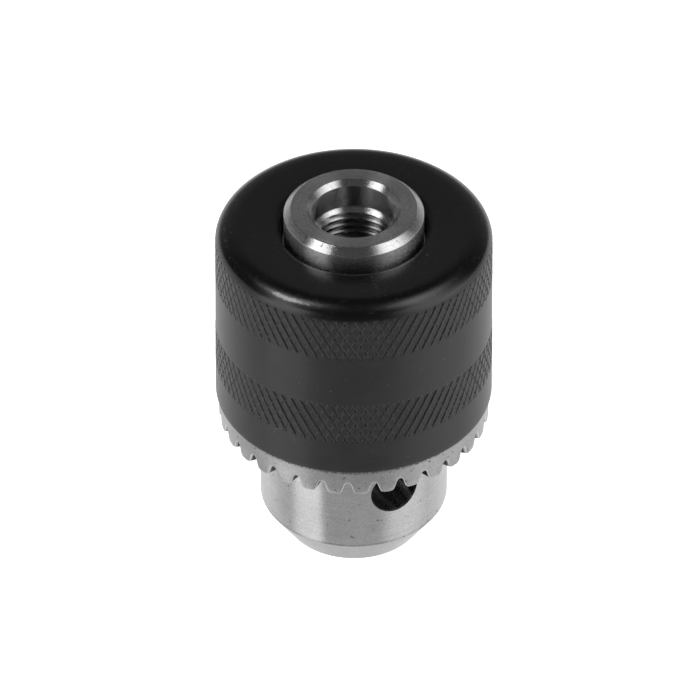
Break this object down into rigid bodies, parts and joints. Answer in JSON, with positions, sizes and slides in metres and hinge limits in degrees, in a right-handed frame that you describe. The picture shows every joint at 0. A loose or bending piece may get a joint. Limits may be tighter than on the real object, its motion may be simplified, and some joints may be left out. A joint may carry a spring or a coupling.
{
  "type": "keyed drill chuck",
  "caption": "Keyed drill chuck: steel body with threaded boss and key holes, dark knurled jacket, toothed ring, split nut and slanted sliding jaws.",
  "frame": {"origin": "centre of the nose face, where the tool enters; the nose face lies in the z = 0 plane", "axes": "+Z along the spindle axis from the nose up to the threaded boss; one key hole opens towards -Y"},
  "size_m": [0.043, 0.043, 0.0614],
  "materials": {
    "body_steel": "ground and satin turned steel",
    "jacket_black": "semi-gloss black oxide over knurled sheet steel",
    "ring_steel": "satin machined steel",
    "jaw_steel": "hardened ground steel",
    "nut_steel": "oiled hardened steel"
  },
  "bodies": {
    "body": {"chuck_body": "body_steel"},
    "sleeve": {"outer_jacket": "jacket_black", "toothed_ring": "ring_steel", "nut_half_a": "nut_steel", "nut_half_b": "nut_steel"},
    "jaw_1": {"jaw_1": "jaw_steel"},
    "jaw_2": {"jaw_2": "jaw_steel"},
    "jaw_3": {"jaw_3": "jaw_steel"}
  },
  "joints": [
    {"name": "sleeve_spin", "type": "hinge", "parent": "body", "child": "sleeve", "pos_m": [0, 0, 0], "axis": [0, 0, 1], "range_deg": [0, 4881]},
    {"name": "jaw_1_slide", "type": "slide", "parent": "body", "child": "jaw_1", "axis": [-0.2021, 0.1167, -0.9724], "range_m": [0, 0.02461]},
    {"name": "jaw_2_slide", "type": "slide", "parent": "body", "child": "jaw_2", "axis": [0, -0.2334, -0.9724], "range_m": [0, 0.02461]},
    {"name": "jaw_3_slide", "type": "slide", "parent": "body", "child": "jaw_3", "axis": [0.2021, 0.1167, -0.9724], "range_m": [0, 0.02461]}
  ],
  "couplings": [
    {"joint": "jaw_1_slide", "follows": "sleeve_spin", "m_per_rad": 0.00028875},
    {"joint": "jaw_2_slide", "follows": "sleeve_spin", "m_per_rad": 0.00028875},
    {"joint": "jaw_3_slide", "follows": "sleeve_spin", "m_per_rad": 0.00028875}
  ]
}
